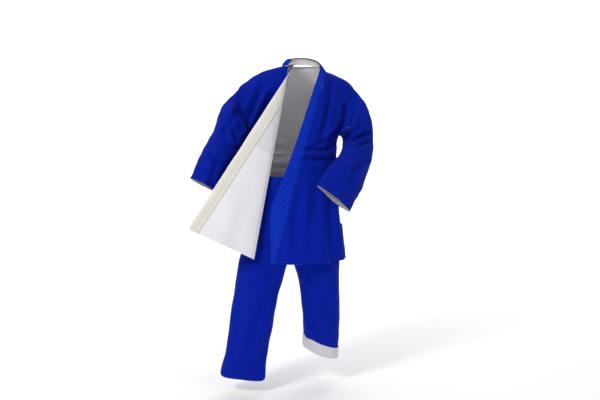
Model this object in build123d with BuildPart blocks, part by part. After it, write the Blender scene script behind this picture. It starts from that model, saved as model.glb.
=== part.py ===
"""Reversible judo uniform, as worn with the jacket open: blue cloth outside and a white lining inside.

Frame: millimetres, +X to the wearer's left, -Y the way the wearer faces, +Z up.
Origin: the centre of the wearer's waist, inside the trousers' waistband.
Every tube of cloth is a pair of nested shells, the blue face and the white lining, with hems inside them.
"""

import math
import os

from build123d import *

# Cloth: each layer is (how far inside the blue face's outside it starts, its thickness).
FACE = (0.0, 1.6)
LINING = (1.8, 1.4)
HEM = (3.4, 1.2)
OUTSIDE = (-1.8, 1.6)  # a turned-up cuff, over the blue face
BAND_WALL = (0.0, 4.6)  # the neck band, several cloths thick
JOINT_GAP = 1.5  # between the pieces of two moving bodies
SEAM_GAP = 0.2  # on each side of a level seam
SIDE_GAP = 0.6  # degrees left on each side of a side seam
BACK_GAP = 0.1  # degrees left on each side of the centre back seam
HEM_HEIGHT = 30

# Jacket body: level rings of the torso, as (height, centre X, half width, half depth).
HEM_Z = -325
SEAM_Z = 150  # the seam that joins the jacket's skirt to its upper part
NECK_Z = 540
SKIRT_Z = [-150, 0]  # where the skirt's cloth bends
UPPER_Z = [232, 300, 400, 450, 480]  # where the upper part's cloth bends
NECK_RING_Z = [505, 525, NECK_Z]
LEFT_FRONT_TOP_Z = 494
LEFT_BAND_TOP_Z = 500
VENT_PATCH_ARC = 10  # degrees
TORSO_RINGS = [
    (HEM_Z, 2, 240, 152),
    (SKIRT_Z[0], 1, 230, 134),
    (SKIRT_Z[1], 0, 215, 115),
    (SEAM_Z, 8, 204, 105),
    (232, 16, 204, 100),
    (300, 22, 250, 97),
    (400, 28, 262, 88),
    (450, 27, 255, 80),
    (480, 30, 212, 74),
    (505, 24, 166, 71),
    (525, 20, 128, 68),
    (NECK_Z, 50, 84, 66),
]
FOLD_TOP = (-3, -40, NECK_Z)  # the right front is folded back along this line
FOLD_FOOT = (-159, -127, -308)
FOLD_STANDOFF = 5  # the fold line lies this far in front of the jacket's body
LAPEL_TOP = (8, -46, NECK_Z - 8)  # the free edge of the right front
LAPEL_FOOT = (-435, -260, -151)
BAND_WIDTH = 52
LEFT_SEAM_TOP = (155, -28, 497)  # the left band is sewn on along this line
LEFT_SEAM_FOOT = (-56, -158, -299)
LEFT_EDGE = [(133, 523), (-20, 76), (-76, -64), (-85, HEM_Z)]  # its free edge, as (X, Z)
RIGHT_ARMHOLE = [(-169, 212), (-233, 440), (-300, 700), (-900, 700), (-900, 212)]  # cut away, in X and Z
LEFT_ARMHOLE = [(219, 212), (283, 440), (350, 700), (900, 700), (900, 212)]
NECK_BAND_HEIGHT = 42
NECK_BAND_LEAN = (4, 8)  # its top edge stands this far over, in X and Y
NECK_BAND_TAPER = (12, 8)  # and is this much narrower, in half width and half depth
NECK_BAND_ARC = (-20, 214)
FLAP_START = 1.0  # the right front's folded cloth starts this far from the fold line
FLAP_TIP = 4.0  # and ends in tips this wide at the top
FLAP_BAND_DROP = 40  # its band ends this far below the top of the fold
FLAP_BAND_GAP = 0.5
FLAP_FACE = (-1.6, 1.6)  # (offset towards the wearer, thickness)
FLAP_LINING = (0.2, 1.4)
FLAP_BAND = (-2.6, 5.2)

# Trousers: level rings of the seat, as (height, centre X, centre Y, half width, half depth).
WAIST_TOP = 55
BAND_FOOT = 12
CROTCH_Z = -327
SEAT_RINGS = [
    (BAND_FOOT, 0, 12, 184, 96),
    (-150, 0, 2, 210, 103),
    (CROTCH_Z, 0, -5, 224, 103),
]
WAIST_RINGS = [(WAIST_TOP, 0, 15, 181, 95), (BAND_FOOT + JOINT_GAP, 0, 12, 184, 96)]
WAIST_OUTER = (-0.6, 1.6)
WAIST_INNER = (2.8, 1.4)
ELASTIC = (1.7, 0.7)
ELASTIC_HEIGHT = 30
ELASTIC_DROP = 6  # below the waistband's top
EYELET_SPACING = 60
EYELET_RADIUS = 5
EYELET_DEPTH = 60
CENTRE_SEAM_GAP = 0.1
GUSSET_CENTRE = (3, -5, CROTCH_Z - 3.5)
GUSSET_HALF_WIDTH = 9
GUSSET_HALF_LENGTH = 75
GUSSET_WALL = 3
CUFF_HEIGHT = 62
FAR = 1000


def unit(v):
    """The direction of a vector."""
    return Vector(*v).normalized()


def ring_plane(centre, facing, across=(1, 0, 0)):
    """The plane of a ring, whose width runs along across."""
    z_dir = unit(facing)
    x_dir = Vector(*across)
    x_dir = (x_dir - z_dir * x_dir.dot(z_dir)).normalized()
    return Plane(origin=centre, x_dir=x_dir, z_dir=z_dir)


def tube(rings, layer):
    """One layer of cloth through rings of (plane, half width, half depth)."""
    inset, wall = layer
    with BuildPart() as cloth:
        for depth, mode in ((inset, Mode.ADD), (inset + wall, Mode.SUBTRACT)):
            outline = []
            for plane, a, b in rings:
                with BuildSketch(plane) as section:
                    Ellipse(a - depth, b - depth)
                outline.append(section.sketch.face())
            loft(outline, ruled=True, mode=mode)
    return cloth.part


def panel(rings, layer):
    """One layer of cloth through level arcs of (centre, half width, half depth, first and last angle)."""
    inset, wall = layer
    with BuildPart() as cloth:
        for centre, a, b, first, last in rings:
            with BuildSketch(Plane(origin=centre)):
                with BuildLine():
                    sweep = last - first
                    outer = EllipticalCenterArc((0, 0), a - inset, b - inset, first, arc_size=sweep)
                    inset_more = inset + wall
                    inner = EllipticalCenterArc((0, 0), a - inset_more, b - inset_more, first, arc_size=sweep)
                    Line(outer @ 0, inner @ 0)
                    Line(outer @ 1, inner @ 1)
                make_face()
        loft(ruled=True)
    return cloth.part


def block(low, high):
    """An upright box between two corners."""
    size = [h - l for l, h in zip(low, high)]
    centre = [(l + h) / 2 for l, h in zip(low, high)]
    with BuildPart(Plane(origin=centre)) as box:
        Box(*size)
    return box.part


def keep_inside(cloth, zone):
    """The part of a cloth layer inside a block."""
    with BuildPart() as piece:
        add(cloth)
        add(zone, mode=Mode.INTERSECT)
    return piece.part


def without(cloth, *zones):
    """A cloth layer with each block cut away."""
    with BuildPart() as piece:
        add(cloth)
        for zone in zones:
            add(zone, mode=Mode.SUBTRACT)
    return piece.part


def beyond(cloth, plane):
    """The part of a cloth layer on the side that a plane faces."""
    with BuildPart() as piece:
        add(cloth)
        split(bisect_by=plane, keep=Keep.TOP)
    return piece.part


def end_band(rings, height, layer):
    """The last stretch of a tube, in another layer."""
    end = rings[-1][0]
    start = Plane(origin=end.origin - end.z_dir * height, x_dir=end.x_dir, z_dir=end.z_dir)
    return beyond(tube(rings, layer), start)


def on_line(top, foot, z):
    """The point at height z on a straight line."""
    t = (top[2] - z) / (top[2] - foot[2])
    return tuple(a + t * (b - a) for a, b in zip(top, foot))


made = {}


def write(name, part):
    """Labels a finished piece and keeps it for the export."""
    solids = sorted(part.solids(), key=lambda s: -s.volume)
    big = [s for s in solids if s.volume > 0.002 * solids[0].volume]
    part = big[0] if len(big) == 1 else Compound(big)
    part.label = name
    made[name] = part


# --- The jacket's body ------------------------------------------------------------------------------

HEM_TOP = HEM_Z + HEM_HEIGHT
SKIRT = [HEM_Z, HEM_TOP, *SKIRT_Z, SEAM_Z - SEAM_GAP]
UPPER = [SEAM_Z + SEAM_GAP, *UPPER_Z]
LINED = [HEM_Z, HEM_TOP, *SKIRT_Z, SEAM_Z, *UPPER_Z]  # the lining runs on past the waist seam


def torso_at(z):
    """The torso's ring at height z as (centre, half width, half depth), just behind the fold line."""
    for (z0, *low), (z1, *high) in zip(TORSO_RINGS, TORSO_RINGS[1:]):
        if z <= z1:
            break
    t = (z - z0) / (z1 - z0)
    x, a, b = (p + t * (q - p) for p, q in zip(low, high))
    fold_x, fold_y, _ = on_line(FOLD_TOP, FOLD_FOOT, z)
    y = fold_y + FOLD_STANDOFF + b * math.sqrt(1 - ((fold_x - x) / a) ** 2)
    return (x, y, z), a, b


def front_angle(z, x_edge):
    """Where a line at x_edge crosses the front of the torso's ring at height z."""
    (x, _, _), a, _ = torso_at(z)
    return 360 - math.degrees(math.acos((x_edge - x) / a))


def fold_angle(z):
    """Where the right front's fold is on the ring at height z."""
    return front_angle(z, on_line(FOLD_TOP, FOLD_FOOT, z)[0])


def seam_angle(z, shift):
    """Where the left band's seam is on the ring at height z, moved sideways by shift."""
    return front_angle(z, on_line(LEFT_SEAM_TOP, LEFT_SEAM_FOOT, z)[0] + shift)


def edge_angle(z):
    """Where the left front's free edge is on the ring at height z."""
    for (x0, z0), (x1, z1) in zip(LEFT_EDGE, LEFT_EDGE[1:]):
        if z >= z1:
            break
    return front_angle(z, x0 + (z0 - z) / (z0 - z1) * (x1 - x0))


def arcs(heights, first, last):
    """Arcs at these heights, from one angle to another, each a number or a function of height."""
    rings = []
    for z in heights:
        ends = [angle(z) if callable(angle) else angle for angle in (first, last)]
        rings.append((*torso_at(z), *ends))
    return rings


def armhole(outline):
    """A block over an outline in X and Z, which cuts an armhole."""
    with BuildPart() as cutter:
        with BuildSketch(Plane.XZ):
            with BuildLine():
                Polyline(*outline, close=True)
            make_face()
        extrude(amount=FAR, both=True)
    return cutter.part


right_arm = armhole(RIGHT_ARMHOLE)
left_arm = armhole(LEFT_ARMHOLE)
backs = {
    "right": (90 + BACK_GAP, 180 - SIDE_GAP, right_arm),
    "left": (SIDE_GAP, 90 - BACK_GAP, left_arm),
}
for side, (first, last, arm) in backs.items():
    write(f"back_panel_{side}", without(panel(arcs(UPPER + NECK_RING_Z, first, last), FACE), arm))
    write(f"back_skirt_{side}", panel(arcs(SKIRT, first, last), FACE))
    lining = panel(arcs(LINED + NECK_RING_Z, first, last), LINING)
    write(f"back_lining_{side}", without(lining, arm))

right_front = (180 + SIDE_GAP, fold_angle)
write("right_front_panel", without(panel(arcs(UPPER + NECK_RING_Z, *right_front), FACE), right_arm))
write("right_front_skirt", panel(arcs(SKIRT, *right_front), FACE))
write("right_front_lining", without(panel(arcs(LINED + NECK_RING_Z, *right_front), LINING), right_arm))

left_front = (lambda z: seam_angle(z, JOINT_GAP), 360 - SIDE_GAP)
write("left_front_panel", without(panel(arcs(UPPER + [LEFT_FRONT_TOP_Z], *left_front), FACE), left_arm))
write("left_front_skirt", panel(arcs(SKIRT, *left_front), FACE))
write("left_front_lining", without(panel(arcs(LINED + [LEFT_FRONT_TOP_Z], *left_front), LINING), left_arm))

# The side vents' patches and the back hem lie inside the lining.
patch_rings = [HEM_TOP + 1, SKIRT_Z[0]]
write("right_vent_patch", panel(arcs(patch_rings, 180 - VENT_PATCH_ARC, 180 - SIDE_GAP), HEM))
write("left_vent_patch", panel(arcs(patch_rings, SIDE_GAP, VENT_PATCH_ARC), HEM))
write("back_hem_facing", panel(arcs([HEM_Z, HEM_TOP], SIDE_GAP, 180 - SIDE_GAP), HEM))

# The neck part of the collar band stands on the neck ring, from one front round the back to the other.
(neck_x, neck_y, _), neck_a, neck_b = torso_at(NECK_Z)
lean_x, lean_y = NECK_BAND_LEAN
taper_a, taper_b = NECK_BAND_TAPER
band_foot = (neck_x, neck_y, NECK_Z + SEAM_GAP)
band_top = (neck_x + lean_x, neck_y + lean_y, NECK_Z + NECK_BAND_HEIGHT)
neck_rings = [
    (band_foot, neck_a, neck_b, *NECK_BAND_ARC),
    (band_top, neck_a - taper_a, neck_b - taper_b, *NECK_BAND_ARC),
]
write("collar_neck_band", panel(neck_rings, BAND_WALL))

# --- The left band, which turns about its seam ------------------------------------------------------

left_band = (edge_angle, lambda z: seam_angle(z, -JOINT_GAP))
band_heights = LINED + [LEFT_BAND_TOP_Z]
write("left_lapel_band", panel(arcs(band_heights, *left_band), FACE))
write("left_lapel_lining", panel(arcs(band_heights, *left_band), LINING))

# --- The right front, folded back -------------------------------------------------------------------

fold_top, fold_foot = Vector(*FOLD_TOP), Vector(*FOLD_FOOT)
lapel_foot = Vector(*LAPEL_FOOT)
fold_up = (fold_top - fold_foot).normalized()
flap_out = lapel_foot - fold_foot
flap_out = (flap_out - fold_up * flap_out.dot(fold_up)).normalized()
flap_plane = Plane(origin=FOLD_FOOT, x_dir=fold_up, z_dir=fold_up.cross(flap_out))


def on_flap(point):
    """A point's place in the flap's plane: along the fold, and out from it."""
    v = Vector(*point) - fold_foot
    return v.dot(fold_up), v.dot(flap_out)


lapel_u, lapel_v = on_flap(LAPEL_FOOT)
top_u, top_v = on_flap(LAPEL_TOP)
fold_u, _ = on_flap(FOLD_TOP)
seam_u, _ = on_flap(on_line(FOLD_TOP, FOLD_FOOT, SEAM_Z))
hem_slope = lapel_u / lapel_v
edge_slope = (lapel_v - top_v) / (lapel_u - top_u)
band_inset = BAND_WIDTH * math.hypot(1, edge_slope)
flap_top_u = fold_u - FLAP_BAND_DROP


def edge_v(u, inset):
    """How far out a line parallel to the free edge is at u along the fold."""
    return top_v + edge_slope * (u - top_u) - inset


def hem_corner(inset):
    """Where that line meets the hem."""
    v = edge_v(0, inset) / (1 - edge_slope * hem_slope)
    return v * hem_slope, v


def fold_corner(inset, v):
    """Where that line comes within v of the fold."""
    return top_u + (v - top_v + inset) / edge_slope, v


def flap_sheet(outline, layer):
    """A flat sheet of the flap."""
    offset, wall = layer
    with BuildPart() as sheet:
        with BuildSketch(flap_plane.offset(offset)):
            with BuildLine():
                Polyline(*outline, close=True)
            make_face()
        extrude(amount=wall)
    return sheet.part


cloth_inset = band_inset + FLAP_BAND_GAP
cloth_tip = fold_corner(cloth_inset, FLAP_TIP)
skirt_u = seam_u - SEAM_GAP
panel_u = seam_u + SEAM_GAP
skirt_outline = [
    (0, FLAP_START),
    hem_corner(cloth_inset),
    (skirt_u, edge_v(skirt_u, cloth_inset)),
    (skirt_u, FLAP_START),
]
panel_outline = [
    (panel_u, FLAP_START),
    (panel_u, edge_v(panel_u, cloth_inset)),
    cloth_tip,
    (cloth_tip[0], FLAP_START),
]
lining_outline = [(0, FLAP_START), hem_corner(cloth_inset), cloth_tip, (cloth_tip[0], FLAP_START)]
band_tip = fold_corner(band_inset, FLAP_TIP)
band_outline = [
    (lapel_u, lapel_v),
    hem_corner(band_inset),
    band_tip,
    (flap_top_u, band_tip[1]),
    (flap_top_u, edge_v(flap_top_u, 0)),
]
write("right_flap_skirt", flap_sheet(skirt_outline, FLAP_FACE))
write("right_flap_panel", flap_sheet(panel_outline, FLAP_FACE))
write("right_flap_lining", flap_sheet(lining_outline, FLAP_LINING))
write("right_lapel_band", flap_sheet(band_outline, FLAP_BAND))

# --- Sleeves ----------------------------------------------------------------------------------------

RIGHT_SLEEVE = {
    "armhole": ((-209, 16, 342), (-1, 0, -0.27), (0, 0, 1), 114, 80),
    "upper": ((-238, 0, 294), (-0.75, -0.2, -0.63), (-0.6, 0, 0.7), 88, 76),
    "elbow": ((-277, -52, 206), (-0.5, -0.3, -0.85), (-1, 0, 0.5), 67, 64),
    "fore": ((-327, -86, 113), (-0.46, -0.3, -0.84), (-1, 0, 0.5), 64, 60),
    "cuff": ((-377, -120, 20), (-0.46, -0.3, -0.84), (-1, 0, 0.5), 59, 54),
}
LEFT_SLEEVE = {
    "armhole": ((259, 16, 342), (1, 0, -0.27), (0, 0, 1), 114, 80),
    "upper": ((300, 24, 275), (0.45, 0, -0.9), (0.9, 0, 0.45), 76, 70),
    "elbow": ((311, 38, 208), (-0.05, -0.42, -0.9), (1, 0, 0), 66, 62),
    "fore": ((280, -80, 110), (-0.35, -0.72, -0.6), (0.45, 0.3, -0.84), 76, 54),
    "cuff": ((188, -232, -18), (-0.42, -0.66, -0.62), (0.42, 0.3, -0.86), 82, 40),
}


def ring(spec, shift=0.0):
    """A ring from (centre, facing, across, half width, half depth), moved along its own axis."""
    centre, facing, across, a, b = spec
    return ring_plane(Vector(*centre) + unit(facing) * shift, facing, across), a, b


def sleeve(side, upper, lower):
    """Both halves of a sleeve, each a blue face and a white lining, and the cuff's hem."""
    for half, rings in (("upper", upper), ("lower", lower)):
        write(f"{side}_{half}_sleeve", tube(rings, FACE))
        write(f"{side}_{half}_sleeve_lining", tube(rings, LINING))
    write(f"{side}_cuff_hem", end_band(lower, HEM_HEIGHT, HEM))


half_gap = JOINT_GAP / 2
r, l = RIGHT_SLEEVE, LEFT_SLEEVE
sleeve(
    "right",
    [ring(r["armhole"]), ring(r["upper"]), ring(r["elbow"], -half_gap)],
    [ring(r["elbow"], half_gap), ring(r["fore"]), ring(r["cuff"])],
)
sleeve(
    "left",
    [ring(l["armhole"]), ring(l["upper"]), ring(l["elbow"], -half_gap)],
    [ring(l["elbow"], half_gap), ring(l["fore"]), ring(l["cuff"])],
)

# --- Trousers ---------------------------------------------------------------------------------------


def level(rings):
    """Level rings from (height, centre X, centre Y, half width, half depth)."""
    return [(Plane(origin=(x, y, z)), a, b) for z, x, y, a, b in rings]


seat_rings = level(SEAT_RINGS)
seat_face = tube(seat_rings, FACE)
write("seat_right", keep_inside(seat_face, block((-FAR, -FAR, -FAR), (-CENTRE_SEAM_GAP, FAR, FAR))))
write("seat_left", keep_inside(seat_face, block((CENTRE_SEAM_GAP, -FAR, -FAR), (FAR, FAR, FAR))))
write("seat_lining", tube(seat_rings, LINING))

# The waistband is a tunnel of two walls with the elastic between them.
waist_rings = level(WAIST_RINGS)
_, _, waist_y, _, waist_depth = WAIST_RINGS[0]
eyelet_row = Plane(origin=(0, waist_y - waist_depth, (WAIST_TOP + BAND_FOOT) / 2), z_dir=(0, -1, 0))
with BuildPart(eyelet_row) as eyelet_holes:
    with GridLocations(EYELET_SPACING, 0, 2, 1):
        Cylinder(EYELET_RADIUS, EYELET_DEPTH)
write("waistband", without(tube(waist_rings, WAIST_OUTER), eyelet_holes.part))
write("waistband_facing", tube(waist_rings, WAIST_INNER))
elastic_rings = []
for z in (WAIST_TOP - ELASTIC_DROP, WAIST_TOP - ELASTIC_DROP - ELASTIC_HEIGHT):
    t = (WAIST_TOP - z) / (WAIST_TOP - WAIST_RINGS[1][0])
    elastic_rings.append(tuple(p + t * (q - p) for p, q in zip(*WAIST_RINGS)))
write("waist_elastic", tube(level(elastic_rings), ELASTIC))

# A diamond gusset closes the crotch between the two legs.
with BuildPart() as gusset:
    with BuildSketch(Plane(origin=GUSSET_CENTRE)):
        Polygon(
            (-GUSSET_HALF_WIDTH, 0),
            (0, -GUSSET_HALF_LENGTH),
            (GUSSET_HALF_WIDTH, 0),
            (0, GUSSET_HALF_LENGTH),
        )
    extrude(amount=GUSSET_WALL)
write("crotch_gusset", gusset.part)

LEG_TOP = CROTCH_Z - JOINT_GAP
RIGHT_LEG = {
    "top": ((-120, -7, LEG_TOP), (0, 0, -1), (1, 0, 0), 108, 99),
    "thigh": ((-147, -34, -450), (-0.18, -0.14, -0.97), (1, 0, 0), 103, 94),
    "knee": ((-174, -62, -600), (-0.17, -0.13, -0.97), (1, 0, 0), 98, 86),
    "shin": ((-194, -78, -720), (-0.15, -0.08, -0.98), (1, 0, 0), 92, 76),
    "hem": ((-217, -86, -852), (-0.1, -0.06, -0.99), (1, 0, 0), 97, 70),
}
LEFT_LEG = {
    "top": ((123, -5, LEG_TOP), (0, 0, -1), (1, 0, 0), 103, 101),
    "thigh": ((133, 14, -440), (0.06, 0.14, -0.98), (1, 0, 0), 92, 88),
    "knee": ((141, 34, -574), (0.05, 0.16, -0.98), (1, 0, 0), 85, 80),
    "hem": ((142, 64, -782), (0.12, 0.1, -0.97), (1, 0, 0), 79, 66),
}


def leg(side, thigh, shin):
    """Both halves of a trouser leg, each a blue face and a white lining."""
    for half, rings in (("thigh", thigh), ("shin", shin)):
        write(f"{side}_{half}", tube(rings, FACE))
        write(f"{side}_{half}_lining", tube(rings, LINING))


r, l = RIGHT_LEG, LEFT_LEG
right_shin = [ring(r["knee"], half_gap), ring(r["shin"]), ring(r["hem"])]
left_shin = [ring(l["knee"], half_gap), ring(l["hem"])]
leg("right", [ring(r["top"]), ring(r["thigh"]), ring(r["knee"], -half_gap)], right_shin)
leg("left", [ring(l["top"]), ring(l["thigh"]), ring(l["knee"], -half_gap)], left_shin)
write("right_leg_hem", end_band(right_shin, HEM_HEIGHT, HEM))
write("left_turned_cuff", end_band(left_shin, CUFF_HEIGHT, OUTSIDE))

os.makedirs("parts", exist_ok=True)
for name, part in made.items():
    export_step(part, f"parts/{name}.step")
print(len(made), "parts")
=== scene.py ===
import math
from math import pi

import bpy
import numpy as np
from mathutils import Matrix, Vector


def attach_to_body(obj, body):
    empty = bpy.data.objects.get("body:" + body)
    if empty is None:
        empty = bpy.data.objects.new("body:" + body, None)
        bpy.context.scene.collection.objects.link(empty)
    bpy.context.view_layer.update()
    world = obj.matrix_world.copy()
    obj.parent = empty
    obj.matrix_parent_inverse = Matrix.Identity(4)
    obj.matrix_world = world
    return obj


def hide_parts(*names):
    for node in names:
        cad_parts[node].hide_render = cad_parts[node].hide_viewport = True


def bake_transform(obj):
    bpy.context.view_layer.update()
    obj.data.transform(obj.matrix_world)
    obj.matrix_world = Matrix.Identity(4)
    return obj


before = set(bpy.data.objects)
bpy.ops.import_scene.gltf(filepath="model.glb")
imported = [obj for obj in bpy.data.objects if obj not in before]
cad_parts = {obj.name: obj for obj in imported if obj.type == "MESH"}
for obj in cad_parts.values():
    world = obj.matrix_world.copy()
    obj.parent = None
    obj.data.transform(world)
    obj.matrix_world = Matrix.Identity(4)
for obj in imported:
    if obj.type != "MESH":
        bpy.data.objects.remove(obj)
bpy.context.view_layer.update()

# --- Number helpers (metres, row frame) ---------------------------------------------------------------


def spline(keys, t):
    """Smooth values at t through rows of (position, values...)."""
    keys = np.array(keys, float)
    x, y = keys[:, 0], keys[:, 1:]
    slope = np.gradient(y, x, axis=0)
    t = np.clip(np.atleast_1d(t), x[0], x[-1])
    i = np.clip(np.searchsorted(x, t, side="right") - 1, 0, len(x) - 2)
    h = (x[i + 1] - x[i])[:, None]
    s = ((t - x[i]) / (x[i + 1] - x[i]))[:, None]
    a, b = (1 + 2 * s) * (1 - s) ** 2, s * s * (3 - 2 * s)
    return a * y[i] + b * y[i + 1] + h * (s * (1 - s) ** 2 * slope[i] + s * s * (s - 1) * slope[i + 1])


def unit(v):
    v = np.array(v, float)
    return v / np.maximum(np.linalg.norm(v, axis=-1, keepdims=True), 1e-12)


def smooth(x, a, b):
    t = np.clip((x - a) / (b - a), 0, 1)
    return t * t * (3 - 2 * t)


def spaced(length, step=0.006, fine=(0.0, 0.0015, 0.004, 0.008)):
    """Positions from 0 to 1 along a length, close together near both ends, where the seams are."""
    fine = np.array(fine)
    if length < 4 * fine[-1]:
        return np.linspace(0, 1, max(4, int(length / 0.004)))
    middle = np.linspace(fine[-1], length - fine[-1], max(3, int(length / step)))
    return np.concatenate([fine[:-1], middle, length - fine[-2::-1]]) / length


def waves(p, size, seed):
    """Soft uneven swells, from -1 to 1, that vary over about size."""
    rng = np.random.default_rng(seed)
    total = np.zeros(p.shape[:-1])
    for _ in range(7):
        k = unit(rng.normal(size=3)) * 2 * pi / (size * rng.uniform(0.7, 1.6))
        total += np.sin(p @ k + rng.uniform(0, 6.28))
    return total / 4


def stroke(p, line, width):
    """(closeness, place along) of points to a line of points: 1 on it and 0 a few widths away."""
    line = np.array(line, float)
    best = np.full(p.shape[:-1], np.inf)
    along = np.zeros(p.shape[:-1])
    lengths = np.linalg.norm(np.diff(line, axis=0), axis=1)
    total, done = lengths.sum(), 0.0
    for a, b, d in zip(line, line[1:], lengths):
        t = np.clip((p - a) @ (b - a) / d**2, 0, 1)
        gap = np.linalg.norm(p - (a + t[..., None] * (b - a)), axis=-1)
        near = gap < best
        best = np.where(near, gap, best)
        along = np.where(near, (done + t * d) / total, along)
        done += d
    return best / width, along


def fold(p, n, folds):
    """Moves cloth points p, with normals n, into valleys.

    Each fold is (-1 on the front or 1 on the back, its line in X and Z, its depth, its width).
    """
    flat = p[..., [0, 2]]
    move = np.zeros(p.shape[:-1])
    for side, line, depth, width in folds:
        d, t = stroke(flat, line, width)
        taper = np.clip(4 * t * (1 - t), 0, 1) ** 0.6
        valley = -np.exp(-d * d) + 0.5 * np.exp(-(((d - 1.9) / 0.9) ** 2))
        facing = smooth(side * n[..., 1], 0.12, 0.60)
        move += depth * taper * valley * facing
    return p + n * move[..., None]


def normals(p, wrap=False):
    """Normals of a grid: outward where rows go up and columns go round anticlockwise, seen from above."""
    if wrap:
        du = np.roll(p, -1, 1) - np.roll(p, 1, 1)
    else:
        du = np.gradient(p, axis=1)
    dv = np.gradient(p, axis=0)
    return unit(np.cross(du, dv))


# --- Materials ------------------------------------------------------------------------------------------


def math_node(nodes, operation, slot=0, value=None):
    """A node that does arithmetic. One of its inputs may be fixed at a value."""
    node = nodes.new("ShaderNodeMath")
    node.operation = operation
    if value is not None:
        node.inputs[slot].default_value = value
    return node


def noise_node(nodes, scale, detail):
    node = nodes.new("ShaderNodeTexNoise")
    node.inputs["Scale"].default_value = scale
    node.inputs["Detail"].default_value = detail
    return node


def weave_height(nodes, link, uv, weave, size):
    """The height of the weave: rice grains are staggered bricks, diamond and drill are two sets of bands."""
    if weave == "rice":
        grains = nodes.new("ShaderNodeTexBrick")
        shape = {"Mortar Size": 0.16, "Mortar Smooth": 1.0, "Brick Width": 0.62, "Row Height": 1.0}
        for setting, value in shape.items():
            grains.inputs[setting].default_value = value
        grains.inputs["Scale"].default_value = 1 / size
        link(uv.outputs[0], grains.inputs["Vector"])
        height = math_node(nodes, "SUBTRACT", 0, 1.0)
        link(grains.outputs["Fac"], height.inputs[1])
        return height
    height = math_node(nodes, "MAXIMUM" if weave == "diamond" else "ADD")
    for slot, turn in enumerate((45, -45 if weave == "diamond" else 38)):
        turned = nodes.new("ShaderNodeMapping")
        turned.inputs["Rotation"].default_value[2] = math.radians(turn)
        link(uv.outputs[0], turned.inputs[0])
        band = nodes.new("ShaderNodeTexWave")
        band.inputs["Scale"].default_value = 0.314 / size
        band.inputs["Distortion"].default_value = 0.0
        link(turned.outputs[0], band.inputs["Vector"])
        link(band.outputs["Fac"], height.inputs[slot])
    return height


def cloth_material(name, colour, dark, weave, size, bump, rough=0.92, sheen=0.03):
    """Woven cotton: a weave in the cloth's own coordinates, uneven dye, painted shade in the weave's hollows,
    and a soft sheen.
    """
    m = bpy.data.materials.new(name)
    m.use_nodes = True
    nodes, link = m.node_tree.nodes, m.node_tree.links.new
    shader = nodes["Principled BSDF"]
    shader.inputs["Roughness"].default_value = rough
    shader.inputs["Sheen Weight"].default_value = sheen
    shader.inputs["Sheen Roughness"].default_value = 0.4
    shader.inputs["Specular IOR Level"].default_value = 0.06
    uv = nodes.new("ShaderNodeUVMap")
    uv.uv_map = "UVMap"
    height = weave_height(nodes, link, uv, weave, size)

    # The colour is uneven as dyed cloth is, and darker in the weave's hollows than on its raised threads:
    # painted shade.
    patches = noise_node(nodes, 26.0, 6.0)
    # Painted shade: the weave's hollows take the darker colour.
    painted_weave_shade = math_node(nodes, "MULTIPLY", 1, 0.55)
    link(height.outputs[0], painted_weave_shade.inputs[0])
    shade = math_node(nodes, "MULTIPLY_ADD", 1, 0.45)
    link(patches.outputs["Fac"], shade.inputs[0])
    link(painted_weave_shade.outputs[0], shade.inputs[2])
    ramp = nodes.new("ShaderNodeValToRGB")
    ramp.color_ramp.elements[0].color = (*dark, 1)
    ramp.color_ramp.elements[1].color = (*colour, 1)
    ramp.color_ramp.elements[1].position = 0.75
    link(shade.outputs[0], ramp.inputs[0])
    link(ramp.outputs[0], shader.inputs["Base Color"])

    # The relief is the weave with the fine roughness of its threads.
    threads = noise_node(nodes, 900.0, 3.0)
    link(uv.outputs[0], threads.inputs["Vector"])
    relief = math_node(nodes, "MULTIPLY_ADD", 1, 0.35)
    link(threads.outputs["Fac"], relief.inputs[0])
    link(height.outputs[0], relief.inputs[2])
    bumps = nodes.new("ShaderNodeBump")
    bumps.inputs["Strength"].default_value = 0.8
    bumps.inputs["Distance"].default_value = bump
    link(relief.outputs[0], bumps.inputs["Height"])
    link(bumps.outputs[0], shader.inputs["Normal"])
    return m


# Each colour, and a darker one that the uneven dye's darker patches and the painted shade in the weave's
# hollows run towards.
BLUE, BLUE_DARK = (0.0018, 0.016, 0.37), (0.0007, 0.007, 0.19)
BAND_BLUE, BAND_BLUE_DARK = (0.0030, 0.028, 0.45), (0.0016, 0.014, 0.28)
WHITE, WHITE_DARK = (0.91, 0.90, 0.93), (0.83, 0.82, 0.86)
DRILL_WHITE, DRILL_WHITE_DARK = (0.68, 0.67, 0.70), (0.58, 0.57, 0.61)
CREAM, CREAM_DARK = (0.89, 0.85, 0.79), (0.76, 0.71, 0.64)
ELASTIC, ELASTIC_DARK = (0.72, 0.71, 0.68), (0.35, 0.34, 0.33)
BLUE_THREAD, BLUE_THREAD_DARK = (0.012, 0.06, 0.58), (0.004, 0.03, 0.3)
WHITE_THREAD, WHITE_THREAD_DARK = (0.78, 0.76, 0.74), (0.55, 0.54, 0.52)
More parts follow.
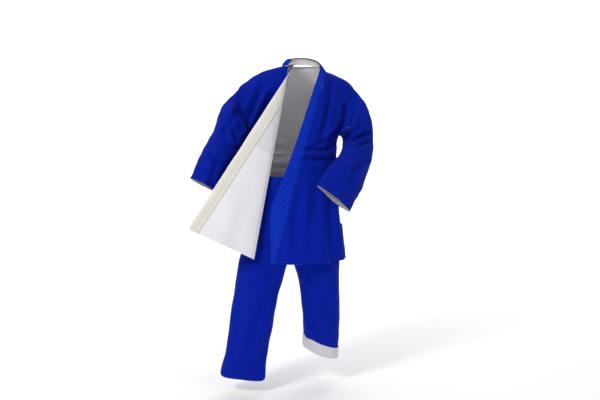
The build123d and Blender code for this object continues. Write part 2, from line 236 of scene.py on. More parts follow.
# Each cloth's name, colours, weave, repeat of the weave and height of its relief, and a thread's roughness.
CLOTHS = {
    "blue_rice": ("blue_rice_weave", BLUE, BLUE_DARK, "rice", 0.0042, 0.0007),
    "blue_diamond": ("blue_diamond_weave", BLUE, BLUE_DARK, "diamond", 0.0062, 0.0006),
    "blue_drill": ("blue_drill", BLUE, BLUE_DARK, "drill", 0.0024, 0.0003),
    "blue_band": ("blue_band_cloth", BAND_BLUE, BAND_BLUE_DARK, "drill", 0.0022, 0.0003),
    "white_rice": ("white_rice_weave", WHITE, WHITE_DARK, "rice", 0.0042, 0.0007),
    "white_diamond": ("white_diamond_weave", WHITE, WHITE_DARK, "diamond", 0.0062, 0.0005),
    "white_drill": ("white_drill", DRILL_WHITE, DRILL_WHITE_DARK, "drill", 0.0024, 0.0003),
    "cream_band": ("cream_band_cloth", CREAM, CREAM_DARK, "drill", 0.0022, 0.0003),
    "elastic": ("ribbed_elastic", ELASTIC, ELASTIC_DARK, "rice", 0.0030, 0.0006),
    "blue_thread": ("blue_thread", BLUE_THREAD, BLUE_THREAD_DARK, "drill", 0.0006, 0.0001, 0.6),
    "white_thread": ("white_thread", WHITE_THREAD, WHITE_THREAD_DARK, "drill", 0.0006, 0.0001, 0.6),
}
MAT = {cloth_name: cloth_material(*values) for cloth_name, values in CLOTHS.items()}

# --- Making cloth ---------------------------------------------------------------------------------------


THICKNESS = 0.0016  # of one layer of cloth


def attach(obj, how):
    """how is a body's name, to which the cloth is parented, or (body a, body b, start, end) for cloth across
    a joint, which is left unparented with its transform baked in.
    """
    if isinstance(how, str):
        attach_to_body(obj, how)
    else:
        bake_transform(obj)


def bend_between(first, second, way, kept, reach):
    """(first, second, start, end) for cloth across a joint: start is the kept point farthest along way, and
    end lies reach beyond it.
    """
    start = kept[int(np.argmax(kept @ way))]
    return first, second, tuple(map(float, start)), tuple(map(float, start + way * reach))


def mesh_object(name, verts, faces, uvs, vertex_normals, material):
    mesh = bpy.data.meshes.new(name)
    mesh.from_pydata(verts.tolist(), [], faces)
    mesh.polygons.foreach_set("use_smooth", [True] * len(mesh.polygons))
    layer = mesh.uv_layers.new(name="UVMap")
    layer.data.foreach_set("uv", np.array(uvs, np.float32).ravel())
    if vertex_normals is not None:
        mesh.normals_split_custom_set_from_vertices(vertex_normals.tolist())
    mesh.materials.append(material)
    obj = bpy.data.objects.new(name, mesh)
    bpy.context.collection.objects.link(obj)
    return obj


def lengths(p, axis):
    """Distance along a grid from its first row or column."""
    step = np.linalg.norm(np.diff(p, axis=axis), axis=-1)
    pad = np.zeros_like(np.take(step, [0], axis=axis))
    return np.concatenate([pad, np.cumsum(step, axis=axis)], axis=axis)


def cloth_coordinates(p):
    """Each point's distance along and up the cloth, the same for a whole column or row."""
    u, v = lengths(p, 1), lengths(p, 0)
    return np.stack([u.mean(0)[None, :] + 0 * u, v.mean(1)[:, None] + 0 * v], -1)


def cloth(name, p, n, material, how, depth, wrap=False, keep=None, uv=None, replaces=()):
    """One layer of cloth over a grid p with outward normals n, from depth[0] to depth[1] behind the grid."""
    rows, cols = p.shape[:2]
    outer, inner = p - n * depth[0], p - n * depth[1]
    verts = np.concatenate([outer.reshape(-1, 3), inner.reshape(-1, 3)])
    vert_n = np.concatenate([n.reshape(-1, 3), -n.reshape(-1, 3)])
    closed = np.concatenate([p, p[:, :1]], 1) if wrap else p
    if uv is None:
        uv = cloth_coordinates(closed)
    spans = cols if wrap else cols - 1
    count = rows * cols
    faces, uvs, edges = [], [], {}
    for r in range(rows - 1):
        for c in range(spans):
            if keep is not None and not keep[r, c]:
                continue
            d = (c + 1) % cols
            quad = (r * cols + c, r * cols + d, (r + 1) * cols + d, (r + 1) * cols + c)
            corner = (uv[r, c], uv[r, c + 1], uv[r + 1, c + 1], uv[r + 1, c])
            faces.append(quad)
            uvs += corner
            faces.append(tuple(i + count for i in reversed(quad)))
            uvs += corner[::-1]
            for k in range(4):
                a, b = quad[k], quad[(k + 1) % 4]
                if (b, a) in edges:
                    del edges[(b, a)]
                else:
                    edges[(a, b)] = (corner[k], corner[(k + 1) % 4])
    for (a, b), (ua, ub) in edges.items():
        faces.append((b, a, a + count, b + count))
        uvs += (ub, ua, ua + THICKNESS, ub + THICKNESS)
    used = np.unique([i for f in faces for i in f])
    index = np.full(len(verts), -1)
    index[used] = np.arange(len(used))
    faces = [tuple(int(index[i]) for i in f) for f in faces]
    obj = mesh_object(name, verts[used], faces, uvs, vert_n[used], MAT[material])
    attach(obj, how)
    if replaces:
        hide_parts(*replaces)
    return obj


def stitches(name, lines, how, thread="blue_thread", pitch=0.0062, length=0.0042, radius=0.00055):
    """Rows of stitches along lines of (points, normals)."""
    shape = [
        (-1, 0, 0), (-0.5, 1, 0), (-0.5, 0, 1), (-0.5, -1, 0),
        (0.5, 1, 0), (0.5, 0, 1), (0.5, -1, 0), (1, 0, 0),
    ]
    quads = [(0, 2, 1), (0, 3, 2), (1, 2, 5, 4), (2, 3, 6, 5), (4, 5, 7), (5, 6, 7), (0, 1, 4, 7, 6, 3)]
    verts, faces = [], []
    for p, n in lines:
        run = lengths(p, 0) if len(p) > 1 else np.zeros(1)
        if run[-1] < 2 * pitch:
            continue
        at = np.arange(pitch, run[-1] - pitch / 2, pitch)
        spot = np.stack([np.interp(at, run, p[:, k]) for k in range(3)], 1)
        ahead = np.stack([np.interp(at + pitch / 4, run, p[:, k]) for k in range(3)], 1)
        up = unit(np.stack([np.interp(at, run, n[:, k]) for k in range(3)], 1))
        way = unit(ahead - spot)
        side = unit(np.cross(up, way))
        for o, w, s, u in zip(spot, way, side, up):
            base = len(verts)
            for x, y, z in shape:
                verts.append(o + w * x * length / 2 + s * y * radius + u * z * radius * 1.3)
            faces += [tuple(base + i for i in q) for q in quads]
    if not verts:
        return None
    verts = np.array(verts)
    uvs = [(0.001 * i, 0.0) for f in faces for i in range(len(f))]
    obj = mesh_object(name, verts, faces, uvs, None, MAT[thread])
    attach(obj, how)
    return obj


def pressed(p, n, edges, depth=0.0011, reach=0.0035):
    """Rolls the cloth in at its sewn edges. edges names them: left, right, low, top."""
    u, v = lengths(p, 1), lengths(p, 0)
    gap = np.full(p.shape[:2], 1.0)
    for edge, d in (("left", u), ("right", u[:, [-1]] - u), ("low", v), ("top", v[[-1]] - v)):
        if edge in edges:
            gap = np.minimum(gap, d)
    return p - n * (depth * np.exp(-((gap / reach) ** 2)))[..., None]


# --- The jacket's body ----------------------------------------------------------------------------------

HEM_Z, SEAM_Z, NECK_Z, LEFT_TOP = -0.325, 0.150, 0.540, 0.519
GAP = 0.0002  # each side of the waist seam
SIDE_SEAM = 0.003  # angle that each panel stops short of the side seam, in radians
# Each layer's front and back, behind the jacket's outer face.
FACE, LINING, HEM = (0.0, 0.0016), (0.0018, 0.0032), (0.0034, 0.0046)
# The jacket's outline: (height, centre X, half width, half depth).
TORSO = [
    (HEM_Z, 0.002, 0.240, 0.152),
    (-0.150, 0.001, 0.230, 0.134),
    (0.0, 0.000, 0.215, 0.115),
    (SEAM_Z, 0.008, 0.204, 0.105),
    (0.232, 0.016, 0.206, 0.100),
    (0.300, 0.022, 0.250, 0.097),
    (0.400, 0.028, 0.262, 0.088),
    (0.450, 0.027, 0.255, 0.080),
    (0.480, 0.030, 0.220, 0.074),
    (0.505, 0.023, 0.176, 0.071),
    (0.525, 0.020, 0.128, 0.068),
    (NECK_Z, 0.050, 0.084, 0.066),
]
# Ends of the right front's fold, of its free lapel edge, and of the left band's seam.
FOLD_TOP, FOLD_FOOT = np.array((-0.003, -0.040, 0.540)), np.array((-0.159, -0.127, -0.308))
LAPEL_TOP, LAPEL_FOOT = np.array((0.008, -0.046, 0.532)), np.array((-0.435, -0.260, -0.151))
SEAM_TOP, SEAM_FOOT = np.array((0.155, -0.028, 0.497)), np.array((-0.056, -0.158, -0.299))
BAND = 0.052  # width of the lapel bands
# The left band's free edge: (height, X).
LEFT_EDGE = [(HEM_Z, -0.085), (-0.064, -0.076), (0.076, -0.020), (0.523, 0.133)]


def line_at(top, foot, z):
    """Points at heights z on the line from foot to top."""
    t = (top[2] - z) / (top[2] - foot[2])
    return top + t[..., None] * (foot - top)


def torso(z, angle):
    """Points on the jacket's body at heights z and angles, in radians, as grids."""
    x, a, b = spline(TORSO, z.ravel()).T.reshape(3, *z.shape)
    fold_point = line_at(FOLD_TOP, FOLD_FOOT, z)
    y = fold_point[..., 1] + 0.005 + b * np.sqrt(np.maximum(1 - ((fold_point[..., 0] - x) / a) ** 2, 0.01))
    return np.stack([x + a * np.cos(angle), y + b * np.sin(angle), z], -1)


def front_angle(z, x_edge):
    """Angles round the jacket's front where it is at x_edge, at heights z."""
    x, a, _ = spline(TORSO, z).T
    return 2 * pi - np.arccos(np.clip((x_edge - x) / a, -1, 1))


def fold_angle(z):
    return front_angle(z, line_at(FOLD_TOP, FOLD_FOOT, z)[:, 0])


def seam_angle(z):
    return np.minimum(front_angle(z, line_at(SEAM_TOP, SEAM_FOOT, z)[:, 0]), 2 * pi - 0.01)


def edge_angle(z):
    return np.minimum(front_angle(z, spline(LEFT_EDGE, z)[:, 0]), 2 * pi - 0.1)


JACKET_FOLDS = [
    # beside the left band, from the collar down
    (-1, [(0.180, 0.480), (0.176, 0.40), (0.155, 0.30), (0.130, 0.21)], 0.0189, 0.0120),
    (-1, [(0.215, 0.44), (0.245, 0.36), (0.262, 0.30)], 0.0095, 0.0138),
    (-1, [(0.262, 0.40), (0.235, 0.30), (0.200, 0.22), (0.150, 0.165)], 0.0149, 0.0147),
    (-1, [(0.225, 0.262), (0.16, 0.21), (0.10, 0.19)], 0.0162, 0.0110),
    (-1, [(0.215, 0.20), (0.15, 0.172), (0.06, 0.178)], 0.0175, 0.0092),
    (-1, [(0.205, 0.140), (0.13, 0.136), (0.04, 0.138)], 0.0149, 0.0083),
    (-1, [(0.200, 0.118), (0.12, 0.124), (0.03, 0.120)], 0.0135, 0.0101),
    (-1, [(0.215, 0.06), (0.16, 0.075), (0.09, 0.08)], 0.0068, 0.0129),
    # the skirt's long soft flutes
    (-1, [(0.185, 0.10), (0.175, -0.10), (0.182, -0.32)], 0.0108, 0.0184),
    (-1, [(0.120, 0.06), (0.105, -0.12), (0.095, -0.32)], 0.0095, 0.0202),
    (-1, [(0.050, 0.02), (0.025, -0.14), (0.015, -0.32)], 0.0081, 0.0184),
    # the right side, under the arm
    (-1, [(-0.12, 0.46), (-0.16, 0.37), (-0.20, 0.27)], 0.0203, 0.0156),
    (-1, [(-0.07, 0.44), (-0.12, 0.33), (-0.18, 0.22)], 0.0189, 0.0138),
    (-1, [(-0.12, 0.20), (-0.16, 0.18), (-0.20, 0.19)], 0.0095, 0.0110),
    # the back
    (1, [(-0.20, 0.36), (-0.12, 0.30), (-0.04, 0.285)], 0.0108, 0.0166),
    (1, [(0.24, 0.36), (0.16, 0.30), (0.07, 0.285)], 0.0108, 0.0166),
    (1, [(-0.19, 0.24), (-0.10, 0.20), (-0.02, 0.19)], 0.0095, 0.0138),
    (1, [(0.20, 0.24), (0.12, 0.20), (0.03, 0.195)], 0.0095, 0.0138),
    (1, [(-0.16, 0.12), (-0.05, 0.10), (0.10, 0.115)], 0.0081, 0.0129),
    (1, [(-0.13, 0.05), (-0.14, -0.14), (-0.15, -0.32)], 0.0121, 0.0221),
    (1, [(-0.04, 0.02), (-0.05, -0.16), (-0.05, -0.32)], 0.0095, 0.0221),
    (1, [(0.06, 0.04), (0.07, -0.14), (0.08, -0.32)], 0.0121, 0.0221),
    (1, [(0.16, 0.02), (0.165, -0.14), (0.17, -0.32)], 0.0095, 0.0221),
]


# The wearer's pull on the folded front lifts the hem on that side, as (angle, lift).
HEM_LIFT = [(1.57, 0.0), (2.7, 0.038), (3.3, 0.058), (3.7, 0.038), (3.96, 0.022), (4.2, 0.0)]


def heights(low, top):
    """Heights between two, close together near both ends."""
    return low + (top - low) * spaced(top - low)


def jacket_grid(rows, first, last, columns, edge=None):
    """Part of the jacket's body at rows of heights, between two angles that may be functions of height."""
    z = rows[:, None] + 0 * columns[None, :]
    start = first(rows) if callable(first) else np.full(len(rows), first)
    end = last(rows) if callable(last) else np.full(len(rows), last)
    angle = start[:, None] + (end - start)[:, None] * columns[None, :]
    p = torso(z, angle)
    if edge == "fold":
        across = lengths(p, 1)
        near = smooth(across, across[:, [-1]] - 0.045, across[:, [-1]])
        target = line_at(FOLD_TOP, FOLD_FOOT, rows)
        p = p + near[..., None] * (target - p[:, -1])[:, None, :]
    n = normals(p)
    p = p + n * (0.0025 * waves(p, 0.16, 3) + 0.0012 * waves(p, 0.06, 4))[..., None] * fade(columns, edge)
    lift = spline(HEM_LIFT, angle.ravel())[:, 0].reshape(angle.shape)
    p[..., 2] += lift * smooth(-z, -0.02, -HEM_Z) * smooth(4.2 - angle, 0, 0.2)
    # Below the left vent's top, the back skirt lies outside the front one.
    step_out = smooth(-z, 0.160, 0.170) * np.exp(-((angle / 0.22) ** 2)) * (angle < pi)
    p[..., 0] += 0.012 * step_out
    flutes = 0.006 * smooth(-z, -0.05, -HEM_Z) * np.sin(9 * angle + 10 * z)
    p = p + n * flutes[..., None] * fade(columns, edge)
    return fold(p, n, JACKET_FOLDS)


def fade(columns, edge):
    """Keeps the cloth's swells off an edge that a hinge runs along."""
    if edge is None:
        return np.ones((1, len(columns), 1))
    return (1 - smooth(columns, 0.8, 1.0))[None, :, None]


# Each armhole's plane (a place on it and the way out of it), its lowest point, and its middle angle.
ARM = {
    "right": {"at": np.array((-0.209, 0.016, 0.342)), "out": unit((-1, 0, -0.27)), "low": 0.212, "mid": pi},
    "left": {"at": np.array((0.259, 0.016, 0.342)), "out": unit((1, 0, -0.27)), "low": 0.212, "mid": 0.0},
}


def cut_armholes(p):
    """(points moved onto the armhole, faces kept) for a grid of the jacket's body."""
    gone = np.zeros(p.shape[:2], bool)
    moved = p.copy()
    for arm in ARM.values():
        past = (p - arm["at"]) @ arm["out"]
        inside = (past > 0) & (p[..., 2] > arm["low"])
        gone |= inside
        onto = p - arm["out"] * past[..., None]
        moved = np.where((inside & (past < 0.02))[..., None], onto, moved)
    all_gone = gone[:-1, :-1] & gone[1:, :-1] & gone[:-1, 1:] & gone[1:, 1:]
    return moved, ~all_gone


def lined_panel(side, part, p, n, weave, edges, nodes):
    """A blue panel, the white lining behind it, and the stitches along its seams. Returns the blue panel."""
    p = pressed(p, n, edges)
    moved, keep = cut_armholes(p)
    name = f"{side}_{part}_cloth"
    blue = cloth(name, moved, n, f"blue_{weave}", "jacket", FACE, keep=keep, replaces=[nodes[0]])
    cloth(f"{name}_white", moved, n, f"white_{weave}", "jacket", LINING, keep=keep, replaces=nodes[1:])
    lines = []
    past = np.stack([(p - arm["at"]) @ arm["out"] * (p[..., 2] > arm["low"]) for arm in ARM.values()]).max(0)
    whole = slice(None)
    picks = {"left": (whole, 2), "right": (whole, -3), "low": (2, whole), "top": (-3, whole)}
    for edge in edges:
        pick = picks[edge]
        clear = past[pick] < -0.004 if edge in ("low", "top") else past[pick] < 0
        lines.append((p[pick][clear], n[pick][clear]))
    stitches(f"{name}_stitches", lines, "jacket")
    return blue


# Each part of the jacket's body: its first and last angle, its rough width, and its top.
BODY = (
    ("back_right", pi / 2, pi - SIDE_SEAM, 0.33, NECK_Z),
    ("back_left", SIDE_SEAM, pi / 2, 0.33, NECK_Z),
    ("right_front", pi + SIDE_SEAM, fold_angle, 0.20, NECK_Z),
    ("left_front", seam_angle, 2 * pi - SIDE_SEAM, 0.27, LEFT_TOP),
)
for side, first, last, width, top in BODY:
    skirt_rows, panel_rows = heights(HEM_Z, SEAM_Z - GAP), heights(SEAM_Z + GAP, top)
    edge = "fold" if side == "right_front" else None
    grid = jacket_grid(np.concatenate([skirt_rows, panel_rows]), first, last, spaced(width), edge)
    grid_n = normals(grid)
    sides = ("left",) if edge else ("left", "right")
    split = len(skirt_rows)
    back, _, turn = side.partition("_")
    for part, cut, weave, seam in (
        ("skirt", slice(None, split), "diamond", "top"),
        ("panel", slice(split, None), "rice", "low"),
    ):
        node = f"back_{part}_{turn}" if back == "back" else f"{side}_{part}"
        lining = f"back_lining_{turn}" if back == "back" else f"{side}_lining"
        nodes = [node, lining] if part == "panel" else [node]
        blue = lined_panel(side, part, grid[cut], grid_n[cut], weave, (*sides, seam), nodes)

# Hems: a turned-up facing with two rows of stitches.
HEM_TOP = HEM_Z + 0.030
for name, first, last, width in (
    ("back", SIDE_SEAM, pi - SIDE_SEAM, 0.66),
    ("left_front", seam_angle, 2 * pi - SIDE_SEAM, 0.27),
    ("right_front", pi + SIDE_SEAM, fold_angle, 0.12),
):
    edge = "fold" if name == "right_front" else None
    columns = spaced(width)
    p = jacket_grid(heights(HEM_Z, HEM_TOP), first, last, columns, edge)
    n = normals(p)
    cloth(f"{name}_hem", p, n, "white_drill", "jacket", HEM,
          replaces=["back_hem_facing"] if name == "back" else ())
    stitches(f"{name}_hem_stitches", [(p[k], n[k]) for k in (2, -1)], "jacket")

for side, first, last in (("right", pi - 0.16, pi - SIDE_SEAM), ("left", SIDE_SEAM, 0.16)):
    p = jacket_grid(heights(HEM_TOP + 0.001, -0.150), first, last, spaced(0.035))
    cloth(f"{side}_vent_tape", p, normals(p), "white_drill", "jacket", HEM,
          replaces=[f"{side}_vent_patch"])

# --- The collar's neck band -----------------------------------------------------------------------------

# The band's seam and its free edge, from the left lapel round the back: (place along, X, Y, Z).
COLLAR_SEAM = [
    (0.00, 0.1545, -0.0190, 0.5002), (0.08, 0.163, -0.003, 0.513), (0.18, 0.148, 0.034, 0.528),
    (0.32, 0.108, 0.066, 0.543), (0.50, 0.050, 0.080, 0.549), (0.64, 0.008, 0.070, 0.546),
    (0.78, -0.030, 0.038, 0.542), (0.90, -0.034, 0.002, 0.542), (1.00, -0.012, -0.036, 0.545),
]
COLLAR_TOP = [
    (0.00, 0.1265, -0.0300, 0.5002), (0.08, 0.135, -0.028, 0.526), (0.18, 0.134, -0.006, 0.552),
    (0.32, 0.100, 0.042, 0.573), (0.50, 0.050, 0.062, 0.580), (0.64, 0.016, 0.054, 0.578),
    (0.78, -0.010, 0.028, 0.574), (0.90, -0.010, -0.010, 0.571), (1.00, 0.008, -0.044, 0.566),
]
along = np.linspace(0, 1, 110)
seam_line, top_line = spline(COLLAR_SEAM, along), spline(COLLAR_TOP, along)
up = spaced(0.05, 0.005)[:, None, None]
collar = seam_line[None] + up * (top_line - seam_line)[None]
collar_out = unit(collar - np.array((0.050, 0.020, 0.48)))
collar = collar + collar_out * (0.004 * np.sin(pi * up))
collar_n = normals(collar)
cloth("neck_band", collar, collar_n, "blue_band", "jacket", (0.0, 0.0045), replaces=["collar_neck_band"])
rows_of_stitches = [(collar[k], collar_n[k]) for k in (2, 5, 7, 9, -3)]
stitches("neck_band_stitches", rows_of_stitches, "jacket")
cloth("neck_band_inside", collar[1:-1], collar_n[1:-1], "cream_band", "jacket", (0.0047, 0.0060))

# --- The left band --------------------------------------------------------------------------------------

BAND_FRONT, BAND_BACK = (0.0, 0.0030), (0.0032, 0.0046)
BAND_COLUMNS = spaced(BAND, step=0.004)
BAND_ROWS = (2, 5, 7, 9, 11, -3)  # the columns that the rows of stitches follow
RIB = 0.0085  # between the ridges that the rows of stitches leave
p = jacket_grid(heights(HEM_Z, 0.500), edge_angle, seam_angle, BAND_COLUMNS)
u = lengths(p, 1)
n = normals(p)
puff = 0.0035 * (1 - (2 * u / u[:, [-1]] - 1) ** 8) + 0.0006 * np.cos(2 * pi * u / RIB)
p = p + n * puff[..., None]
n = normals(p)
seam_edge, free_edge = p[:, -1], p[:, 0]
across = (free_edge - seam_edge).mean(0)
along_seam = unit(seam_edge[-1] - seam_edge[0])
across = unit(across - along_seam * (across @ along_seam))
band_bend = bend_between("jacket", "left_lapel", across, seam_edge, 0.018)
cloth("left_band", p, n, "blue_band", band_bend, BAND_FRONT, replaces=["left_lapel_band"])
cloth("left_band_white", p, n, "white_drill", band_bend, BAND_BACK, replaces=["left_lapel_lining"])
rows_of_stitches = [(p[:, k], n[:, k]) for k in BAND_ROWS]
stitches("left_band_stitches", rows_of_stitches, band_bend)

# --- The right front, folded back -----------------------------------------------------------------------

fold_up = unit(FOLD_TOP - FOLD_FOOT)
flap_out = LAPEL_FOOT - FOLD_FOOT
flap_out = unit(flap_out - fold_up * (flap_out @ fold_up))
flap_front = unit(np.cross(flap_out, fold_up))
flap_front = flap_front if flap_front[1] < 0 else -flap_front


def flap(t, s, lift=0.0):
    """Points on the folded front: t up the fold from the hem, s out from the fold to the free edge."""
    fold_point = FOLD_FOOT + t[..., None] * (FOLD_TOP - 0.014 * fold_up - FOLD_FOOT)
    edge_point = LAPEL_FOOT + t[..., None] * (LAPEL_TOP - LAPEL_FOOT)
    p = fold_point + s[..., None] * (edge_point - fold_point)
    out = np.linalg.norm(p - fold_point, axis=-1)
    across = np.linalg.norm(edge_point - fold_point, axis=-1)
    belly = 0.010 * np.sin(pi * np.clip(s, 0, 1)) * smooth(across, 0.0, 0.2)
    roll = -0.006 * np.exp(-((out / 0.012) ** 2)) + 0.006
    swell = 0.0022 * waves(p, 0.14, 11) * smooth(out, 0.0, 0.06)
    ridge_z = 0.148 - 0.22 * (p[..., 0] + 0.175)
    ridge = 0.0020 * np.exp(-(((p[..., 2] - ridge_z) / 0.004) ** 2)) * smooth(out, 0.0, 0.02)
    drag = 0.0030 * np.sin(out * 42 + t * 3) * smooth(0.55 - t, 0.0, 0.5) * smooth(out, 0.02, 0.12) * (1 - s)
    return p + flap_front * (belly + roll + swell + ridge + drag + lift)[..., None]


def band_share(t):
    """How far out each row of the folded front its band begins, from 0 to 1."""
    edge_point = LAPEL_FOOT + t[:, None] * (LAPEL_TOP - LAPEL_FOOT)
    fold_point = FOLD_FOOT + t[:, None] * (FOLD_TOP - FOLD_FOOT)
    width = np.maximum(np.linalg.norm(edge_point - fold_point, axis=1), 1e-6)
    return np.clip(1 - BAND / width, 0.0, 1.0)


def forward(n):
    """Normals turned to the side that the folded front shows."""
    return np.sign((n * flap_front).sum(-1, keepdims=True)) * n


t = spaced(0.80) * 1.02
share = band_share(t)
wide = share > 0.02
across = np.linspace(0, 1, 60)[None, :]
p = flap(t[wide][:, None] + 0 * across, share[wide][:, None] * across)[:, ::-1]
n = forward(normals(p))
waist = np.searchsorted(t[wide], (SEAM_Z - FOLD_FOOT[2]) / (FOLD_TOP[2] - FOLD_FOOT[2]))
u, v = lengths(p, 1), lengths(p, 0)
uv = np.stack([u - u[:, [-1]], v.mean(1)[:, None] + 0 * v], -1)
for part, cut, weave in (("skirt", slice(None, waist + 1), "diamond"), ("panel", slice(waist, None), "rice")):
    cloth(f"folded_{part}_white", p[cut], n[cut], f"white_{weave}", "right_flap", (-0.0016, -0.0002),
          uv=uv[cut], replaces=["right_flap_lining"] if part == "skirt" else ())
    blue = cloth(f"folded_{part}", p[cut], n[cut], f"blue_{weave}", "right_flap", FACE, uv=uv[cut],
                 replaces=[f"right_flap_{part}"])

band_s = share[:, None] + (1 - share)[:, None] * BAND_COLUMNS[None, :]
p = flap(t[:, None] + 0 * band_s, band_s)
p = p[:, ::-1]
n = forward(normals(p))
u = lengths(p, 1)
width = np.maximum(u[:, [-1]], 1e-6)
puff = 0.0038 * (1 - (2 * u / width - 1) ** 8) + 0.0005 * np.cos(2 * pi * u / RIB)
p = p + n * (puff * smooth(width, 0.0, 0.03))[..., None]
n = forward(normals(p))
cloth("folded_band", p, n, "cream_band", "right_flap", (-0.0005, 0.0030), replaces=["right_lapel_band"])
cloth("folded_band_blue", p, n, "blue_band", "right_flap", BAND_BACK)
rows_of_stitches = [(p[:, k] + n[:, k] * 0.0006, n[:, k]) for k in BAND_ROWS]
stitches("folded_band_stitches", rows_of_stitches, "right_flap", "white_thread")
hem_s = np.linspace(0.02, 0.98, 60)[None, :]
for k, tt in enumerate((0.008, 0.032)):
    line = flap(np.full_like(hem_s, tt), hem_s * share[0])[0]
    on_face = (line + flap_front * 0.0018, flap_front + 0 * line)
    stitches(f"folded_hem_stitches_{k}", [on_face], "right_flap", "white_thread")

# --- Sleeves --------------------------------------------------------------------------------------------


def armhole_line(side, count):
    """The edge of the jacket's armhole, from its top, forward and down, and up the back."""
    arm = ARM[side]
    out, mid = arm["out"], arm["mid"]
    sign = 1 if out[0] > 0 else -1
    z = np.linspace(arm["low"], 0.60, 500)
    x, a, _ = spline(TORSO, z).T
    plane_x = arm["at"][0] - out[2] / out[0] * (z - arm["at"][2])
    cos = (plane_x - x) / a
    inside = np.abs(cos) < 1
    first = int(np.argmax(inside))
    rows_in = int(np.argmax(~inside[first:])) if (~inside[first:]).any() else len(z) - first
    z, cos = z[first:first + rows_in], cos[first:first + rows_in]
    open_by = np.arccos(np.clip(cos * sign, -1, 1))
    front = torso(z[None, :], mid - sign * open_by[None, :])[0]
    back = torso(z[None, :], mid + sign * open_by[None, :])[0]
    under = np.linspace(mid - sign * open_by[0], mid + sign * open_by[0], 40)[None, 1:-1]
    bottom = torso(np.full_like(under, z[0]), under)[0]
    loop = np.concatenate([front[::-1], bottom, back])
    run = lengths(loop, 0)
    at = np.linspace(0, run[-1], count, endpoint=False)
    return np.stack([np.interp(at, run, loop[:, k]) for k in range(3)], 1)


# Each sleeve's rings: (place along, centre, facing, across, half width, half depth).
SLEEVE = {
    "right": [
        (0.00, (-0.209, 0.016, 0.338), (-1, 0, -0.27), (0, 0, 1), 0.112, 0.080),
        (0.16, (-0.238, 0.002, 0.298), (-0.75, -0.15, -0.6), (-0.6, 0, 0.7), 0.092, 0.080),
        (0.46, (-0.281, -0.052, 0.206), (-0.5, -0.3, -0.85), (-1, 0, 0.5), 0.078, 0.068),
        (0.72, (-0.331, -0.086, 0.113), (-0.47, -0.3, -0.85), (-1, 0, 0.5), 0.072, 0.060),
        (1.00, (-0.383, -0.120, 0.024), (-0.46, -0.26, -0.86), (-1, 0, 0.5), 0.062, 0.050),
    ],
    "left": [
        (0.00, (0.259, 0.016, 0.338), (1, 0, -0.27), (0, 0, 1), 0.112, 0.080),
        (0.14, (0.286, 0.024, 0.288), (0.6, 0, -0.8), (0.8, 0, 0.6), 0.090, 0.078),
        (0.38, (0.309, 0.036, 0.208), (-0.02, -0.35, -0.93), (1, 0, 0.1), 0.069, 0.066),
        (0.56, (0.299, -0.020, 0.144), (-0.22, -0.66, -0.72), (0.7, 0.15, -0.6), 0.072, 0.062),
        (0.74, (0.268, -0.095, 0.090), (-0.42, -0.62, -0.66), (0.72, 0.2, -0.62), 0.082, 0.055),
        (1.00, (0.188, -0.218, -0.026), (-0.56, -0.38, -0.74), (0.76, 0.12, -0.64), 0.091, 0.038),
    ],
}
SLEEVE_FOLDS = {
    "right": [
        (-1, [(-0.205, 0.43), (-0.222, 0.33), (-0.215, 0.24)], 0.0252, 0.0138),
        (-1, [(-0.230, 0.38), (-0.252, 0.29), (-0.228, 0.20)], 0.0182, 0.0120),
        (-1, [(-0.265, 0.33), (-0.285, 0.25), (-0.262, 0.17)], 0.0098, 0.0129),
        (-1, [(-0.315, 0.24), (-0.290, 0.20), (-0.235, 0.17)], 0.0112, 0.0110),
        (-1, [(-0.350, 0.17), (-0.320, 0.12), (-0.262, 0.11)], 0.0084, 0.0110),
        (-1, [(-0.300, 0.16), (-0.330, 0.08), (-0.350, 0.01)], 0.0084, 0.0129),
        (1, [(-0.19, 0.42), (-0.24, 0.32), (-0.25, 0.22)], 0.0154, 0.0147),
        (1, [(-0.34, 0.23), (-0.29, 0.19), (-0.23, 0.18)], 0.0112, 0.0129),
        (1, [(-0.30, 0.15), (-0.33, 0.08), (-0.37, 0.02)], 0.0084, 0.0147),
    ],
    "left": [
        (-1, [(0.292, 0.40), (0.278, 0.33), (0.262, 0.26), (0.250, 0.21)], 0.0168, 0.0129),
        (-1, [(0.320, 0.36), (0.306, 0.29), (0.270, 0.22)], 0.0126, 0.0120),
        (-1, [(0.372, 0.262), (0.325, 0.238), (0.262, 0.198)], 0.0168, 0.0101),
        (-1, [(0.372, 0.215), (0.330, 0.200), (0.268, 0.178)], 0.0112, 0.0101),
        (-1, [(0.350, 0.14), (0.300, 0.10), (0.245, 0.09)], 0.0084, 0.0110),
        (-1, [(0.300, 0.13), (0.270, 0.05), (0.225, -0.02)], 0.0084, 0.0129),
        (1, [(0.23, 0.40), (0.28, 0.32), (0.29, 0.23)], 0.0140, 0.0147),
        (1, [(0.37, 0.25), (0.32, 0.22), (0.26, 0.21)], 0.0126, 0.0120),
        (1, [(0.35, 0.16), (0.31, 0.08), (0.26, 0.02)], 0.0084, 0.0147),
    ],
}


def tube(rings, steps, count):
    """A grid round a tube through rings of (place, centre, facing, across, half width, half depth)."""
    keys = [(s, *c, *unit(f), *unit(x), a, b) for s, c, f, x, a, b in rings]
    k = spline(keys, steps)
    centre, facing = k[:, 0:3], unit(k[:, 3:6])
    x = k[:, 6:9]
    x = unit(x - facing * (x * facing).sum(1, keepdims=True))
    y = np.cross(facing, x)
    theta = np.linspace(0, 2 * pi, count, endpoint=False)[None, :, None]
    a, b = k[:, None, 9:10], k[:, None, 10:11]
    return centre[:, None] + x[:, None] * np.cos(theta) * a + y[:, None] * np.sin(theta) * b


def outward(p, n):
    """Normals turned to point away from the tube's middle."""
    middle = p.mean(1, keepdims=True)
    return n * np.sign(((p - middle) * n).sum(-1).mean())


